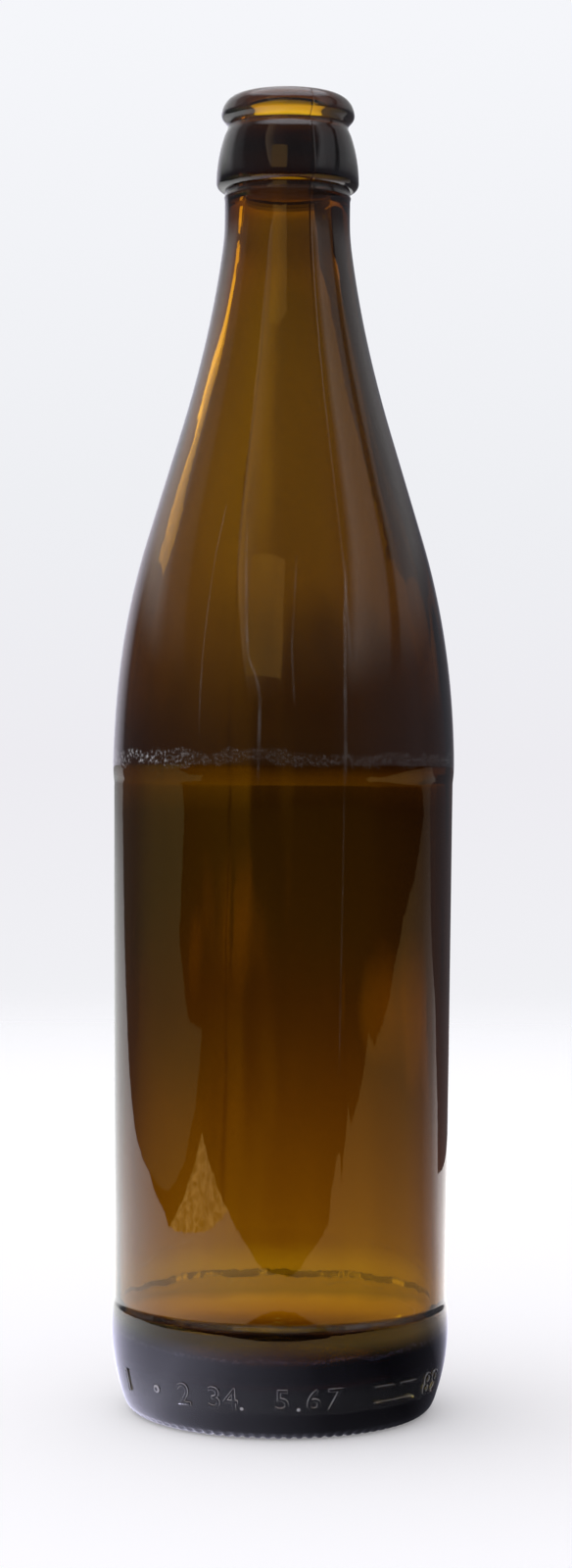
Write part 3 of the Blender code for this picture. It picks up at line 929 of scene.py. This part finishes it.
def standCard(name, paint, azimuth, lift, reach, width, height, tone, seen):
    # an upright card facing the bottle
    bpy.ops.mesh.primitive_plane_add(size=1)
    card = bpy.context.object
    card.name = name
    card.scale = (width, height, 1)
    turn, rise = math.radians(azimuth), math.radians(lift)
    toward = Vector((math.sin(turn) * math.cos(rise), -math.cos(turn) * math.cos(rise), math.sin(rise)))
    card.location = toward * reach + Vector((0, 0, studio["cardsFrom"]))
    card.rotation_euler = toward.to_track_quat("Z", "Y").to_euler()
    bpy.ops.object.transform_apply(location=True, rotation=True, scale=True)
    material, tree = newMaterial(paint)
    finishCard(card, material, tree, (*tone, 1), seen)


def sines(*degrees):
    # a direction's height, or its place to the side, at degrees from level or from the middle
    return [math.sin(math.radians(angle)) for angle in degrees]


def farSide(tree, direction, left, right):
    # what shows through the glass: darker on the right, with soft glows and shades
    x = addNode(tree, "ShaderNodeSeparateXYZ", links={0: direction}).outputs[0]
    start, end = sines(*studio["farTurn"])
    side = addNode(tree, "ShaderNodeMapRange", smooth, {"Value": x, "From Min": start, "From Max": end})
    far = addNode(tree, "ShaderNodeMix", mixColour,
                  {"Factor": side, "A": left, "B": right}).outputs["Result"]
    for middle, halfSize, tone in studio["glows"]:
        x, z, wide, tall = sines(*middle, *halfSize)
        centred = addNode(tree, "ShaderNodeMapping",
                          links={"Vector": direction, "Scale": (1 / wide, 0, 1 / tall),
                                 "Location": (-x / wide, 0, -z / tall)})
        glow = addNode(tree, "ShaderNodeTexGradient", {"gradient_type": "SPHERICAL"}, {0: centred})
        far = addNode(tree, "ShaderNodeMix", {"data_type": "RGBA", "blend_type": "ADD"},
                      {"Factor": glow.outputs["Fac"], "A": far, "B": (*tone, 1)}).outputs["Result"]
    return far


def mirroredWalls(tree, direction, height):
    # what the glass mirrors: a level room, an upper one whose edges lean, and a ceiling
    azimuth = azimuthOf(tree, direction)
    low = addNode(tree, "ShaderNodeMath", {"operation": "SUBTRACT", "use_clamp": True},
                  {0: sines(studio["leanBelow"])[0], 1: height})
    fromMiddle = addNode(tree, "ShaderNodeMath", minus, {0: azimuth, 1: 0.5})
    towards = addNode(tree, "ShaderNodeMath", {"operation": "SIGN"}, {0: fromMiddle})
    lean = addNode(tree, "ShaderNodeMath", times, {0: low, 1: -studio["lean"] / 360})
    leaned = addNode(tree, "ShaderNodeMath", timesPlus, {0: towards, 1: lean, 2: azimuth})
    upper = addNode(tree, "ShaderNodeValToRGB", links={0: leaned})
    setStops(upper, roundStops(studio["upperRoom"]))
    levelRoom = addNode(tree, "ShaderNodeValToRGB", links={0: azimuth})
    setStops(levelRoom, roundStops(studio["levelRoom"], studio["levelTint"]))
    walls = levelRoom.outputs[0]
    for edges, over in (("upperFrom", upper), ("ceilingFrom", (*studio["ceiling"], 1))):
        start, end = sines(*studio[edges])
        raised = addNode(tree, "ShaderNodeMapRange", smooth,
                         {"Value": height, "From Min": start, "From Max": end})
        walls = addNode(tree, "ShaderNodeMix", mixColour,
                        {"Factor": raised, "A": walls, "B": over}).outputs["Result"]
    return walls


def makeWorld():
    world = bpy.data.worlds.new("studio")
    bpy.context.scene.world = world
    world.use_nodes = True
    tree = world.node_tree
    tree.nodes.clear()
    direction = addNode(tree, "ShaderNodeTexCoord").outputs["Generated"]
    height = addNode(tree, "ShaderNodeSeparateXYZ", links={0: direction}).outputs[2]
    level = addNode(tree, "ShaderNodeMapRange", links={"Value": height, "From Min": -1.0, "From Max": 1.0})
    byHeight = {}
    for name, below in (("backdrop", []), ("farLeft", studio["farFloor"]), ("farRight", studio["farFloor"])):
        byHeight[name] = addNode(tree, "ShaderNodeValToRGB", links={0: level})
        setStops(byHeight[name], [((sines(angle)[0] + 1) / 2, tone) for angle, tone in below + studio[name]])
    far = farSide(tree, direction, byHeight["farLeft"], byHeight["farRight"])
    walls = mirroredWalls(tree, direction, height)

    # what each kind of ray finds; on the floor falls soft light that is stronger from the left
    ray = addNode(tree, "ShaderNodeLightPath").outputs
    toLight = addNode(tree, "ShaderNodeVectorMath", {"operation": "DOT_PRODUCT"},
                      {0: direction, 1: studio["lightFrom"]})
    amount = addNode(tree, "ShaderNodeMath", plus, {0: toLight.outputs["Value"], 1: 1.0})
    seen = addNode(tree, "ShaderNodeVectorMath", scaled, {0: studio["light"], "Scale": amount}).outputs[0]
    for kind, colour in (("Is Glossy Ray", walls), ("Is Transmission Ray", far),
                         ("Is Camera Ray", byHeight["backdrop"])):
        seen = addNode(tree, "ShaderNodeMix", mixColour,
                       {"Factor": ray[kind], "A": seen, "B": colour}).outputs["Result"]
    light = addNode(tree, "ShaderNodeBackground", links={"Color": seen})
    addNode(tree, "ShaderNodeOutputWorld", links={"Surface": light})


makeFloor()
mirroredSheet()
mirroredRoom()
for card in studio["cards"]:
    standCard(*card)
makeWorld()
bpy.context.scene.view_settings.view_transform = "Standard"
glassBounces = 24
bpy.context.scene.cycles.max_bounces = glassBounces
bpy.context.scene.cycles.transmission_bounces = glassBounces
print("studio set")
